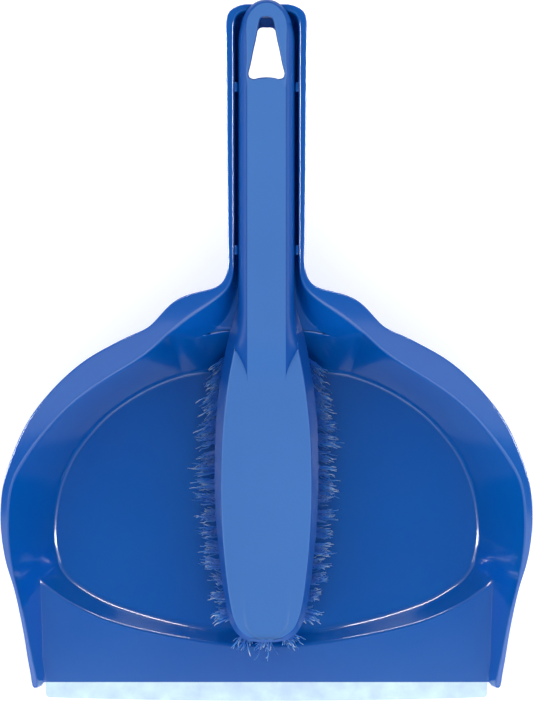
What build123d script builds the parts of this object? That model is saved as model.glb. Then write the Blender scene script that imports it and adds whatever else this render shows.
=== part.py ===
from build123d import *

import math
import os

# Dust pan with a hollow handle, and a hand brush that clips into that handle.
#
# Frame: +X to the right across the pan, +Y from the rubber lip towards the handle, +Z up.
# The set lies on the plane z = 0, and the origin is under the middle of its bounding box.
# Sizes are in millimetres and degrees.

# ---------------------------------------------------------------- driving sizes
# Pan, overall
HALF_WIDTH = 119.3         # half width over the rim, at its widest
BOWL_LENGTH = 186.7        # front edge of the plastic to the root of the handle
HANDLE_LENGTH = 117.7      # root of the handle to its outer end
RIM_HEIGHT = 52.3          # rim over the ground, at the root of the handle
SHOULDER_Y = 38.0          # place of the handle's root
WALL = 2.2                 # moulded wall of the pan

# Pan, ramp and rim
RAMP_FRONT_TOP = 3.0       # top of the ramp at its front edge
RAMP_SLOPE = 11.0
WING_LEAN_FRONT = 22.0     # outward lean of the wing walls from upright
WING_LEAN_REAR = 29.0
SKIRT_DEPTH = 6.0          # turned-down edge of the rim
SKIRT_WALL = 1.6
WING_TIP = 2.5             # wings ahead of the ramp's front edge

# Pan, handle
HANDLE_HALF = 18.2         # half width over the rim
HANDLE_CORNER = 8.0
TROUGH_HALF = 12.7         # half width of the hollow at its floor
TROUGH_DEPTH = 13.0
TROUGH_DRAFT = 8.0
TROUGH_CORNER = 4.0
END_FLANGE = 5.0           # trough floor's end to the handle's end
NUB_LENGTH = 4.6           # snap nubs, two on each side of the trough
NUB_HEIGHT = 3.4
NUB_ROUND = 0.9
NUB_DROP = 1.4             # top of a nub under the rim
NUB_GAP = 0.15             # nub tip to the brush handle
NUB_FROM_END = 37.1
NUB_FROM_ROOT = 7.7

# Rubber lip
LIP_REACH = 8.6            # ahead of the plastic, at the middle
LIP_BOW = 1.7              # its ends are set back by this
LIP_SIDE_GAP = 0.6         # to the wings
LIP_ROOT = 2.4             # thickness at its root
LIP_ROOT_Z = 0.6           # underside of the root over the ground
LIP_EDGE = 0.9             # thickness at its front edge
TONGUE_LENGTH = 3.0        # edge of the plastic that the rubber is moulded over
TONGUE_THICK = 0.9
TONGUE_RISE = 0.4          # its underside over the rubber's
TONGUE_ROOT = 1.0          # its overlap with the ramp

# Brush head
HEAD_HALF = 23.4           # half width at its widest
HEAD_THICK = 13.0
HEAD_INSET = 3.1           # top outline inside the base outline
TIP_BEHIND_RIDGE = 1.8     # head's tip behind the ridge of the ramp
HEAD_BACK = 21.0           # back end of the head at the standard bowl length
HEAD_LIFT = 0.9            # head's underside over the foot of the handle

# Brush handle, as seen from its end
GRIP_OVER_RIM = 6.3
GRIP_TOP_HALF = 8.6
GRIP_FLARE = 0.5           # widest half width over the half width at the foot
GRIP_WIDE_DROP = 2.2       # widest line under the rim
GRIP_SIDE_GAP = 0.6        # foot to the trough's wall, on each side
GRIP_OVERHANG = 2.0        # beyond the pan's handle
GRIP_DOME = 17.7           # length of its rounded end
GRIP_WALL = 2.4
GRIP_BLEND_Y = -11.0       # handle's top runs down to the head's top here
GRIP_BLEND_SLOPE = 17.0
SEAT_GAP = 0.35            # handle to the trough's floor and to the end flange
RIB_THICK = 1.6
RIB_COUNT = 4
POCKET_MARGIN = 6.0        # solid ends beside the hollow of the handle

# Hang hole
HOLE_TOP_FROM_END = 5.6
HOLE_LENGTH = 27.6
HOLE_TOP_HALF = 3.5
HOLE_FOOT_HALF = 8.0
HOLE_ROUND = 2.4
PAN_HOLE_SHORT = 4.8       # pan's hole ends this much earlier at its narrow end

# Tufts and their staples
TRIM_OVER_RIDGE = 1.1      # ends of the bristles over the ridge of the ramp
TUFT_R = 2.15
TUFT_TIP_R = 2.9
TUFT_FIT = 0.05
TUFT_DEPTH = 9.0
TUFT_PITCH = 7.4
EDGE_INSET = 4.0           # outer tufts from the head's edge
TIP_ROW_STEP = 9.4         # tip row to the front ends of the other rows
OUTER_LEAN = 14.0
REAR_LEAN = 15.0           # rearmost tufts lean forward, clear of the bowl's back wall
REAR_INSET = 22.5          # rearmost tufts from the back of the head
REAR_COUNT = 9             # rows over which that lean comes in
STAPLE_LENGTH = 5.4
STAPLE_HEIGHT = 1.8
STAPLE_THICK = 0.4
STAPLE_FROM_END = 0.7

# ---------------------------------------------------------------- outlines
# Right halves, front to back, drawn at these sizes and stretched to the driving sizes: (x, y)
DRAWN_HALF_WIDTH, DRAWN_BOWL_LENGTH, DRAWN_RIM_HEIGHT = 119.3, 186.7, 52.3
DRAWN_HEAD_HALF, DRAWN_HEAD_LENGTH = 23.4, 151.2

SILHOUETTE = [
    (105.7, -148.3), (107.8, -134), (110.2, -119.5), (113.7, -105), (116.9, -94),
    (119.3, -75), (118.2, -61.9), (111.5, -40.3), (97.5, -18.7), (76.4, -0.7),
    (62.9, 6.5), (53, 11.2), (47.1, 17.3), (38.6, 24.3), (27.6, 27.3), (20.0, 31.0),
]
FLOOR_LINE = [
    (38.6, -121.7), (62.9, -115.3), (83.1, -105.5), (93.2, -95), (95.6, -80),
    (93.6, -62.3), (84, -41.5), (65.3, -23.2), (40, -10.6), (18, -6.6),
]
FLOOR_FRONT_Y, FLOOR_BACK_Y = -126.2, -5.5
# Upper edge of the bowl's wall, opposite each point of FLOOR_LINE: (x, y, z)
WALL_LINE = [
    (39, -128.6, 6.8), (66, -122.6, 8), (91, -113.2, 10.2), (111.8, -104, 30.4), (115.8, -80, 36.5),
    (114.2, -60, 40.7), (103.6, -38, 44.6), (82, -18.6, 47.5), (46, 4.8, 50), (20, 15, 50.8),
]
WALL_FRONT, WALL_BACK = (-132.0, 6.2), (16.0, 51.0)
RAMP_SIDE = [(100.0, -165), (101.6, -103.3)]
# Bell mouth where the trough opens into the bowl, at its floor and at the rim
BELL_FLOOR = [(13.4, 30), (16.5, 19), (24, 10), (36, -4)]
BELL_RIM = [(16.2, 30), (24.5, 22.4), (38.6, 12.8), (54, -4)]
# Rim seen from the side: (y, z)
RIM_LINE = [
    (-160, 5.0), (-143, 13.0), (-121, 24.0), (-94, 33.0), (-76, 37.5), (-44, 43.6),
    (-5, 48.8), (20, 51.3), (45, 52.6), (100, 54.8), (165, 57.4),
]
# Brush head from its tip to the root of its handle, with y from the back of the head
HEAD_LINE = [
    (9, -150.3), (15.6, -144.2), (18.6, -132), (21.4, -112), (22.6, -99), (23.4, -77),
    (22.7, -50), (19.9, -29.2), (16.2, -10.8), (12.6, 0),
]


# ---------------------------------------------------------------- stretched places
WIDE = HALF_WIDTH / DRAWN_HALF_WIDTH
LONG = BOWL_LENGTH / DRAWN_BOWL_LENGTH
HIGH = RIM_HEIGHT / DRAWN_RIM_HEIGHT


def bowl_y(y):
    """Place of something drawn at y, with the bowl stretched from the handle's root."""
    return SHOULDER_Y + (y - SHOULDER_Y) * LONG if y < SHOULDER_Y else y


def bowl_points(points):
    """Drawn plan points of the bowl, stretched to the driving sizes."""
    return [(x * WIDE, bowl_y(y)) for x, y in points]


def rim_points(drop=0.0):
    """Points of the rim's line seen from the side, lowered by drop."""
    return [(bowl_y(y), z * HIGH - drop) for y, z in RIM_LINE]


def rim_z(y):
    """Height of the rim at y, between its drawn points."""
    points = rim_points()
    for (y0, z0), (y1, z1) in zip(points, points[1:]):
        if y <= y1:
            return z0 + (z1 - z0) * (y - y0) / (y1 - y0)
    return points[-1][1]


def ramp_z(y):
    """Height of the ramp's top at y."""
    return RAMP_FRONT_TOP + (y - FRONT_EDGE_Y) * math.tan(math.radians(RAMP_SLOPE))


def moved_out(points, distance):
    """Points moved sideways from their run, to its right-hand side."""
    moved = []
    last = len(points) - 1
    for i, (x, y) in enumerate(points):
        (x0, y0), (x1, y1) = points[max(i - 1, 0)], points[min(i + 1, last)]
        run = math.hypot(x1 - x0, y1 - y0)
        moved.append((x + distance * (y1 - y0) / run, y - distance * (x1 - x0) / run))
    return moved


FAR = 90.0                 # reach of cutting blocks beyond what they cut
FRONT_EDGE_Y = SHOULDER_Y - BOWL_LENGTH
HANDLE_END_Y = SHOULDER_Y + HANDLE_LENGTH
TROUGH_END_Y = HANDLE_END_Y - END_FLANGE
SIDE_WALL = WALL / math.cos(math.radians(WING_LEAN_REAR))
RIDGE_Y = bowl_y(WALL_FRONT[0])
CLIMB = math.degrees(math.atan2(rim_z(HANDLE_END_Y) - rim_z(SHOULDER_Y), HANDLE_LENGTH))
NUB_PLACES = [HANDLE_END_Y - NUB_FROM_END, SHOULDER_Y + NUB_FROM_ROOT]

HEAD_TIP_Y = RIDGE_Y + TIP_BEHIND_RIDGE
HEAD_BACK_Y = bowl_y(HEAD_BACK)
HEAD_LENGTH = HEAD_BACK_Y - HEAD_TIP_Y
GRIP_FOOT_DROP = TROUGH_DEPTH - SEAT_GAP
GRIP_FOOT_HALF = TROUGH_HALF - GRIP_SIDE_GAP
GRIP_WIDE_HALF = GRIP_FOOT_HALF + GRIP_FLARE
HEAD_BASE_Z = rim_z(HEAD_BACK_Y) - GRIP_FOOT_DROP + HEAD_LIFT
HEAD_TOP_Z = HEAD_BASE_Z + HEAD_THICK
GRIP_END_Y = HANDLE_END_Y + GRIP_OVERHANG
HOLE_TOP_Y = HANDLE_END_Y - HOLE_TOP_FROM_END
HOLE_FOOT_Y = HOLE_TOP_Y - HOLE_LENGTH
TRIM_Z = ramp_z(RIDGE_Y) + TRIM_OVER_RIDGE


def climb_z(y):
    """Height at y of the straight line that both handles follow along the rim."""
    return rim_z(SHOULDER_Y) + (y - SHOULDER_Y) * math.tan(math.radians(CLIMB))


def climb_plane(drop):
    """Plane under the handles' line by drop. Its local y runs along the handle from its root."""
    lean = math.radians(CLIMB)
    return Plane(
        origin=(0, SHOULDER_Y, climb_z(SHOULDER_Y) - drop), x_dir=(1, 0, 0),
        z_dir=(0, -math.sin(lean), math.cos(lean)),
    )


# ---------------------------------------------------------------- pan
def mirrored_face(half, front_y, back_y):
    """Face inside a smooth right half, front to back, and its mirror image."""
    with BuildSketch(Plane.XY) as plan:
        with BuildLine():
            Spline((0, front_y), *half, (0, back_y), tangents=((1, 0), (-1, 0)))
            mirror(about=Plane.YZ)
        make_face()
    return plan.sketch


def pan_face(inset=0.0, open_y=FRONT_EDGE_Y):
    """Plan of the pan over its rim, drawn in by inset, with its open front at open_y."""
    half = moved_out(bowl_points(SILHOUETTE), -inset)
    side_x, end_y, corner = HANDLE_HALF - inset, HANDLE_END_Y - inset, HANDLE_CORNER - inset
    ramp_x = RAMP_SIDE[0][0] * WIDE + inset
    tip = ((ramp_x + half[0][0]) / 2, open_y - WING_TIP)
    with BuildSketch(Plane.XY) as plan:
        with BuildLine():
            Line((0, open_y), (ramp_x, open_y))
            ThreePointArc((ramp_x, open_y), tip, (half[0][0], open_y))
            Line((half[0][0], open_y), half[0])
            side = Spline(*half, (side_x - 0.9, SHOULDER_Y + 4), tangents=((0.12, 1), (0, 1)))
            straight = Line(side @ 1, (side_x, end_y - corner))
            bend = TangentArc(straight @ 1, (side_x - corner, end_y), tangent=(0, 1))
            Line(bend @ 1, (0, end_y))
            mirror(about=Plane.YZ)
        make_face()
    return plan.sketch


def upright_prism(face):
    """Prism over a plan face, taller than the set."""
    with BuildPart() as prism:
        with BuildSketch(Plane.XY):
            add(face)
        extrude(amount=RIM_HEIGHT + FAR)
    return prism.part


def rim_band(top_drop, foot_drop):
    """Slab between two copies of the rim's line, wider than the pan."""
    with BuildPart() as band:
        with BuildSketch(Plane.YZ):
            with BuildLine():
                top = Spline(*rim_points(top_drop))
                foot = Spline(*rim_points(foot_drop))
                Line(top @ 0, foot @ 0)
                Line(top @ 1, foot @ 1)
            make_face()
        extrude(amount=HALF_WIDTH + 10, both=True)
    return band.part


def bowl_block(out, floor_z):
    """Block between the bowl's floor outline and its wall, drawn out sideways by out.

    The wall is carried on up its own slope to a tilted plane that clears the rim.
    """
    tilt, tilt_y = math.radians(15.0), bowl_y(-94)
    tilt_z = rim_z(tilt_y) + 5 * HIGH
    floor = [(0, bowl_y(FLOOR_FRONT_Y)), *bowl_points(FLOOR_LINE), (0, bowl_y(FLOOR_BACK_Y))]
    top = []
    for (fx, fy), (x, y, z) in zip(floor, [(0, *WALL_FRONT), *WALL_LINE, (0, *WALL_BACK)]):
        dx, dy, rise = x * WIDE - fx, bowl_y(y) - fy, z * HIGH - WALL
        share = (tilt_z + (fy - tilt_y) * math.tan(tilt) - WALL) / (rise - dy * math.tan(tilt))
        top.append((fx + dx * share, fy + dy * share))
    low = moved_out(floor, out)
    high = [(x, (y - tilt_y) / math.cos(tilt)) for x, y in moved_out(top, out)]
    tilted = Plane(
        origin=(0, tilt_y, tilt_z), x_dir=(1, 0, 0), z_dir=(0, -math.sin(tilt), math.cos(tilt))
    )
    with BuildPart() as block:
        with BuildSketch(Plane.XY.offset(floor_z)):
            add(mirrored_face(low[1:-1], low[0][1], low[-1][1]))
        with BuildSketch(tilted):
            add(mirrored_face(high[1:-1], high[0][1], high[-1][1]))
        loft(ruled=True)
    return block.part


def mouth_block(out, drop):
    """Block over the ramp and between the wings, drawn out by out and lowered by drop."""
    with BuildPart() as block:
        for (x, y), lean in zip(RAMP_SIDE, (WING_LEAN_FRONT, WING_LEAN_REAR)):
            place, half = bowl_y(y), x * WIDE + out
            low, high = ramp_z(place) - drop, RIM_HEIGHT
            top = half + (high - low - drop) * math.tan(math.radians(lean))
            with BuildSketch(Plane.XZ.offset(-place)):
                Polygon((-half, low), (half, low), (top, high), (-top, high), align=None)
        loft(ruled=True)
    return block.part


def trough_block(out, drop):
    """Drafted block of the handle's hollow, drawn out by out and lowered by drop."""
    with BuildPart() as block:
        with BuildSketch(climb_plane(TROUGH_DEPTH + drop)):
            length = (TROUGH_END_Y + out - SHOULDER_Y) / math.cos(math.radians(CLIMB))
            with Locations((0, (length - TROUGH_HALF) / 2)):
                Rectangle(2 * (TROUGH_HALF + out), length + TROUGH_HALF)
            fillet(vertices().group_by(Axis.Y)[-1], TROUGH_CORNER)
        extrude(amount=TROUGH_DEPTH + drop + 2, taper=-TROUGH_DRAFT)
    return block.part


def bell_block(out, drop):
    """Block of the flared mouth where the trough opens into the bowl."""
    with BuildPart() as block:
        for points, level in ((BELL_FLOOR, TROUGH_DEPTH + drop), (BELL_RIM, -0.5)):
            half = moved_out([(x, bowl_y(y) - SHOULDER_Y) for x, y in reversed(points)], out)
            with BuildSketch(climb_plane(level)):
                with BuildLine():
                    run = Spline(*half)
                    Line(run @ 0, (0, half[0][1]))
                    Line(run @ 1, (0, half[-1][1]))
                    mirror(about=Plane.YZ)
                make_face()
        loft(ruled=True)
    return block.part


def hole_block(short):
    """Upright block of the hang hole, ended early by short at its narrow end."""
    with BuildPart() as block:
        with BuildSketch(Plane.XY):
            Polygon(
                (-HOLE_FOOT_HALF, HOLE_FOOT_Y), (HOLE_FOOT_HALF, HOLE_FOOT_Y),
                (HOLE_TOP_HALF, HOLE_TOP_Y - short), (-HOLE_TOP_HALF, HOLE_TOP_Y - short), align=None,
            )
            fillet(vertices(), HOLE_ROUND)
        extrude(amount=RIM_HEIGHT + FAR)
    return block.part


def nub(y):
    """Pair of snap nubs that face each other across the trough at y."""
    top_z = climb_z(y) - NUB_DROP
    tip = GRIP_WIDE_HALF + NUB_GAP
    root = TROUGH_HALF + TROUGH_DEPTH * math.tan(math.radians(TROUGH_DRAFT)) + WALL / 2
    with BuildPart() as pair:
        with BuildSketch(Plane.XY.offset(top_z - NUB_HEIGHT)):
            for side in (-1, 1):
                with Locations((side * (tip + root) / 2, y)):
                    Rectangle(root - tip, NUB_LENGTH)
        extrude(amount=NUB_HEIGHT)
        inner = edges().filter_by(Axis.Z).filter_by(lambda e: abs(e.center().X) < tip + 0.1)
        fillet(inner, NUB_ROUND)
    return pair.part


with BuildPart() as skirt:
    add(upright_prism(pan_face()))
    add(upright_prism(pan_face(SKIRT_WALL, FRONT_EDGE_Y - 20)), mode=Mode.SUBTRACT)
    add(rim_band(0, SKIRT_DEPTH), mode=Mode.INTERSECT)

with BuildPart() as flange:
    add(upright_prism(pan_face()))
    add(rim_band(0, WALL), mode=Mode.INTERSECT)

with BuildPart() as dustpan:
    # outside of the bowl, of the wings with their ramp, and of the trough, up to the rim
    add(bowl_block(SIDE_WALL, 0))
    add(mouth_block(SIDE_WALL, WALL))
    add(trough_block(WALL, WALL))
    add(bell_block(WALL, WALL))
    add(upright_prism(pan_face()), mode=Mode.INTERSECT)
    add(rim_band(0, RIM_HEIGHT + FAR), mode=Mode.INTERSECT)
    add(flange.part)
    add(skirt.part)
    # hollows
    add(bowl_block(0, WALL), mode=Mode.SUBTRACT)
    add(mouth_block(0, 0), mode=Mode.SUBTRACT)
    add(trough_block(0, 0), mode=Mode.SUBTRACT)
    add(bell_block(0, 0), mode=Mode.SUBTRACT)
    add(hole_block(PAN_HOLE_SHORT), mode=Mode.SUBTRACT)
    for place in NUB_PLACES:
        add(nub(place))
    # tongue that the rubber lip is moulded over
    with BuildSketch(Plane.XY.offset(LIP_ROOT_Z + TONGUE_RISE)):
        with Locations((0, FRONT_EDGE_Y + (TONGUE_ROOT - TONGUE_LENGTH) / 2)):
            Rectangle(2 * (RAMP_SIDE[0][0] * WIDE - 3), TONGUE_ROOT + TONGUE_LENGTH)
    extrude(amount=TONGUE_THICK)
dustpan.part.label = "dustpan"

# ---------------------------------------------------------------- rubber lip
with BuildPart() as rubber_lip:
    lip_half = RAMP_SIDE[0][0] * WIDE - LIP_SIDE_GAP
    with BuildSketch(Plane.YZ):
        with BuildLine():
            Polyline(
                (FRONT_EDGE_Y, LIP_ROOT_Z), (FRONT_EDGE_Y, LIP_ROOT_Z + LIP_ROOT),
                (FRONT_EDGE_Y - LIP_REACH, LIP_EDGE), (FRONT_EDGE_Y - LIP_REACH, 0),
                (FRONT_EDGE_Y - LIP_REACH / 2, 0), close=True,
            )
        make_face()
    extrude(amount=lip_half, both=True)
    with BuildSketch(Plane.XY):
        with BuildLine():
            bow = ThreePointArc(
                (-lip_half, FRONT_EDGE_Y - LIP_REACH + LIP_BOW), (0, FRONT_EDGE_Y - LIP_REACH),
                (lip_half, FRONT_EDGE_Y - LIP_REACH + LIP_BOW),
            )
            Polyline(bow @ 1, (lip_half, FRONT_EDGE_Y), (-lip_half, FRONT_EDGE_Y), bow @ 0)
        make_face()
        fillet(vertices().group_by(Axis.Y)[0], LIP_BOW)
    extrude(amount=RIM_HEIGHT, mode=Mode.INTERSECT)
    add(dustpan.part, mode=Mode.SUBTRACT)
rubber_lip.part.label = "rubber_lip"


# ---------------------------------------------------------------- brush body
def head_points(inset):
    """Right half of the head's outline, drawn in by inset."""
    wide, long = HEAD_HALF / DRAWN_HEAD_HALF, HEAD_LENGTH / DRAWN_HEAD_LENGTH
    drawn = [(x * wide, HEAD_BACK_Y + y * long) for x, y in HEAD_LINE]
    return moved_out(drawn, -inset)


def head_face(inset):
    """Plan of the brush head, drawn in by inset."""
    half = head_points(inset)
    left = [(-x, y) for x, y in reversed(half)]
    with BuildSketch(Plane.XY) as plan:
        with BuildLine():
            run = Spline(*left, (0, HEAD_TIP_Y + inset), *half)
            Line(run @ 1, run @ 0)
        make_face()
    return plan.sketch


def head_half(y):
    """Half width of the head's underside at y."""
    points = head_points(0)
    for (x0, y0), (x1, y1) in zip(points, points[1:]):
        if y <= y1:
            return x0 + (x1 - x0) * (y - y0) / (y1 - y0)
    return points[-1][0]


def grip_bar():
    """Bar of the handle's cross-section, along the line that both handles follow."""
    lean = math.radians(CLIMB)
    start = GRIP_BLEND_Y - 20
    across = Plane(
        origin=(0, start, climb_z(start)), x_dir=(-1, 0, 0), z_dir=(0, math.cos(lean), math.sin(lean))
    )
    with BuildPart() as bar:
        with BuildSketch(across):
            with BuildLine():
                foot = Line((GRIP_FOOT_HALF, -GRIP_FOOT_DROP), (GRIP_WIDE_HALF, -GRIP_WIDE_DROP))
                Spline(
                    foot @ 1, (GRIP_WIDE_HALF - 0.9, GRIP_OVER_RIM * 0.45), (GRIP_TOP_HALF, GRIP_OVER_RIM),
                    tangents=(foot % 1, (-1, 0.12)),
                )
                Line((GRIP_TOP_HALF, GRIP_OVER_RIM), (0, GRIP_OVER_RIM))
                Line((0, -GRIP_FOOT_DROP), foot @ 0)
                mirror(about=Plane.YZ)
            make_face()
        extrude(amount=GRIP_END_Y - start + 20)
    return bar.part


def grip_side():
    """Side view of the handle as a block: its run-down into the head, its foot and its end."""
    slope = math.tan(math.radians(GRIP_BLEND_SLOPE))
    run = FAR / slope
    over_z = climb_z(TROUGH_END_Y) + SEAT_GAP
    with BuildPart() as block:
        with BuildSketch(Plane.YZ):
            Polygon(
                (GRIP_BLEND_Y - 8, HEAD_TOP_Z - 8 * slope), (GRIP_BLEND_Y + run, HEAD_TOP_Z + FAR),
                (GRIP_END_Y + 1, HEAD_TOP_Z + FAR), (GRIP_END_Y + 1, over_z + 0.3),
                (TROUGH_END_Y - TROUGH_CORNER, over_z), (TROUGH_END_Y - TROUGH_CORNER, 0), (HEAD_BACK_Y, 0),
                (HEAD_BACK_Y, HEAD_BASE_Z), (GRIP_BLEND_Y - 8, HEAD_BASE_Z), align=None,
            )
        extrude(amount=HANDLE_HALF, both=True)
    return block.part


def grip_plan():
    """Plan of the handle as a block, with its domed end."""
    dome_y = GRIP_END_Y - GRIP_DOME
    with BuildSketch(Plane.XY) as plan:
        with BuildLine():
            Polyline(
                (0, GRIP_BLEND_Y - 9), (HANDLE_HALF, GRIP_BLEND_Y - 9), (HANDLE_HALF, dome_y - 10),
                (GRIP_WIDE_HALF, dome_y - 10), (GRIP_WIDE_HALF, dome_y),
            )
            Spline(
                (GRIP_WIDE_HALF, dome_y), (GRIP_WIDE_HALF - 1.7, GRIP_END_Y - GRIP_DOME * 0.39),
                (0, GRIP_END_Y), tangents=((0, 1), (-1, 0)),
            )
            mirror(about=Plane.YZ)
        make_face()
    return upright_prism(plan.sketch)


def tuft_plane(x, y, lean_x, lean_y):
    """Plane at the foot of a tuft's hole, with +Z along the bristles and local x across the brush."""
    towards = Vector(math.tan(math.radians(lean_x)), math.tan(math.radians(lean_y)), -1).normalized()
    return Plane(
        origin=Vector(x, y, HEAD_BASE_Z) - towards * TUFT_DEPTH,
        x_dir=(1, 0, math.tan(math.radians(lean_x))), z_dir=towards,
    )


def tuft_places():
    """Planes of all tufts, by the name of their row."""
    columns = {"outer_left": -1.0, "inner_left": -0.5, "centre": 0.0, "inner_right": 0.5, "outer_right": 1.0}
    rear_y = HEAD_BACK_Y - REAR_INSET
    front_y = HEAD_TIP_Y + EDGE_INSET + TIP_ROW_STEP
    count = round((rear_y - front_y) / TUFT_PITCH)
    pitch = (rear_y - front_y) / count
    rows = {name: [] for name in columns}
    for name, share in columns.items():
        for i in range(count + 1):
            y = front_y + i * pitch
            back = max(0.0, 1 - (rear_y - y) / (REAR_COUNT * pitch))
            side = share * (head_half(y) - EDGE_INSET)
            rows[name].append(tuft_plane(side, y, share * OUTER_LEAN, -REAR_LEAN * back))
    tip_y = HEAD_TIP_Y + EDGE_INSET
    rows["tip"] = [
        tuft_plane(x, tip_y + 0.03 * x * x, x * 1.2, -OUTER_LEAN + 4) for x in (-7.5, 0.0, 7.5)
    ]
    return rows


def tuft(place):
    """One tuft of bristles, a straight cone trimmed level at its free end."""
    length = (HEAD_BASE_Z - TRIM_Z) * 1.15 + TUFT_DEPTH
    with BuildPart() as cone:
        with BuildSketch(place):
            Circle(TUFT_R)
        with BuildSketch(place.offset(TUFT_DEPTH)):
            Circle(TUFT_R)
        with BuildSketch(place.offset(length)):
            Circle(TUFT_TIP_R)
        loft(ruled=True)
        split(bisect_by=Plane.XY.offset(TRIM_Z), keep=Keep.TOP)
    return cone.part


def staple(place):
    """Flat staple that the bristles of one tuft are folded over, driven into the hole's foot."""
    with BuildPart() as bar:
        with BuildSketch(place.offset(STAPLE_FROM_END)):
            Rectangle(STAPLE_THICK, STAPLE_LENGTH)
        extrude(amount=STAPLE_HEIGHT)
    return bar.part


def socket(place):
    """Hole for one tuft."""
    with BuildPart() as drill:
        with BuildSketch(place):
            Circle(TUFT_R + TUFT_FIT)
        extrude(amount=TUFT_DEPTH + 2)
    return drill.part


rows = tuft_places()
staples = {name: [staple(place) for place in places] for name, places in rows.items()}
all_staples = [bar for bars in staples.values() for bar in bars]
sockets = [socket(place) for places in rows.values() for place in places]

with BuildPart() as grip:
    add(grip_bar())
    add(grip_side(), mode=Mode.INTERSECT)
    add(grip_plan(), mode=Mode.INTERSECT)

with BuildPart() as brush_body:
    with BuildSketch(Plane.XY.offset(HEAD_BASE_Z)):
        add(head_face(0))
    with BuildSketch(Plane.XY.offset(HEAD_TOP_Z)):
        add(head_face(HEAD_INSET))
    loft(ruled=True)
    add(grip.part)
    # hollow of the handle between its cross ribs
    first_y, last_y = HEAD_BACK_Y + POCKET_MARGIN, HOLE_FOOT_Y - POCKET_MARGIN
    bay = (last_y - first_y - RIB_COUNT * RIB_THICK) / (RIB_COUNT + 1)
    with BuildSketch(climb_plane(GRIP_FOOT_DROP + 1)):
        for i in range(RIB_COUNT + 1):
            with Locations((0, first_y - SHOULDER_Y + bay / 2 + i * (bay + RIB_THICK))):
                Rectangle(2 * (GRIP_FOOT_HALF - GRIP_WALL), bay)
    extrude(amount=GRIP_FOOT_DROP + 1 + GRIP_OVER_RIM - GRIP_WALL, taper=1, mode=Mode.SUBTRACT)
    add(hole_block(0), mode=Mode.SUBTRACT)
    add(sockets + all_staples, mode=Mode.SUBTRACT)
brush_body.part.label = "brush_body"

os.makedirs("parts", exist_ok=True)
export_step(dustpan.part, "parts/dustpan.step")
export_step(rubber_lip.part, "parts/rubber_lip.step")
export_step(brush_body.part, "parts/brush_body.step")

# ---------------------------------------------------------------- tufts and staples
for name, places in rows.items():
    with BuildPart() as bristles:
        add([tuft(place) for place in places])
        add(staples[name], mode=Mode.SUBTRACT)
    bristles.part.label = f"bristles_{name}"
    export_step(bristles.part, f"parts/bristles_{name}.step")

    with BuildPart() as fixings:
        add(staples[name])
    fixings.part.label = f"staples_{name}"
    export_step(fixings.part, f"parts/staples_{name}.step")
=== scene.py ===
"""Looks of the dust pan and brush set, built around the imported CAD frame.

Outlines are drawn in millimetres at the set's standard size and fitted to the frame's boxes.
"""

from __future__ import annotations

import logging
import math
from dataclasses import dataclass, field
from enum import Enum

import bmesh
import bpy
import numpy as np
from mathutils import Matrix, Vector
from mathutils.geometry import tessellate_polygon


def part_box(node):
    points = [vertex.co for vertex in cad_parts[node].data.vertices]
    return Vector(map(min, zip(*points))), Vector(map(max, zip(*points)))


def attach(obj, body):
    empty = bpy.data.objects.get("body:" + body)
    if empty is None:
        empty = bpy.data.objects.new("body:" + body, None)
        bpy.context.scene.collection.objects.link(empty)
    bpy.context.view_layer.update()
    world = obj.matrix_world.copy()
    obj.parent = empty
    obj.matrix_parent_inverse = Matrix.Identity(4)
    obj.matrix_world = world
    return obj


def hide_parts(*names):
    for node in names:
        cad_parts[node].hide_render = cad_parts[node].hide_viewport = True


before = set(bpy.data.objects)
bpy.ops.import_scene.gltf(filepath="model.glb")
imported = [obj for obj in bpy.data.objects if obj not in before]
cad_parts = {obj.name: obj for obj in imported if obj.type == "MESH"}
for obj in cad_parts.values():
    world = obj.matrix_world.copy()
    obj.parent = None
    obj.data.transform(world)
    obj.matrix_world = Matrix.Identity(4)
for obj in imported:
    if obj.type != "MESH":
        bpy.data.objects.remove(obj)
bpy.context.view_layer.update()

MM = 0.001
LEAST_ROUND = 0.2
SHARP_ANGLE = math.radians(38)
LOG = logging.getLogger("dust_pan_set")
Point = tuple[float, ...]


# ------------------------------------------------------------------ curves
def natural_cubic(knots: np.ndarray, values: np.ndarray, at: np.ndarray) -> np.ndarray:
    """Smooth curve through values.

    Args:
        knots: rising parameter of each value.
        values: one row per knot.
        at: parameters to read.

    Returns:
        One row per entry of at.
    """
    n = len(knots)
    h = np.diff(knots)
    system = np.eye(n)
    right = np.zeros((n, values.shape[1]))
    for i in range(1, n - 1):
        system[i, i - 1 : i + 2] = h[i - 1], 2 * (h[i - 1] + h[i]), h[i]
        right[i] = 6 * ((values[i + 1] - values[i]) / h[i] - (values[i] - values[i - 1]) / h[i - 1])
    bend = np.linalg.solve(system, right)
    k = np.clip(np.searchsorted(knots, at, side="right") - 1, 0, n - 2)
    u, w = (at - knots[k])[:, None], (knots[k + 1] - at)[:, None]
    step = h[k][:, None]
    return (
        (bend[k] * w**3 + bend[k + 1] * u**3) / (6 * step)
        + (values[k] / step - bend[k] * step / 6) * w
        + (values[k + 1] / step - bend[k + 1] * step / 6) * u
    )


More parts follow.
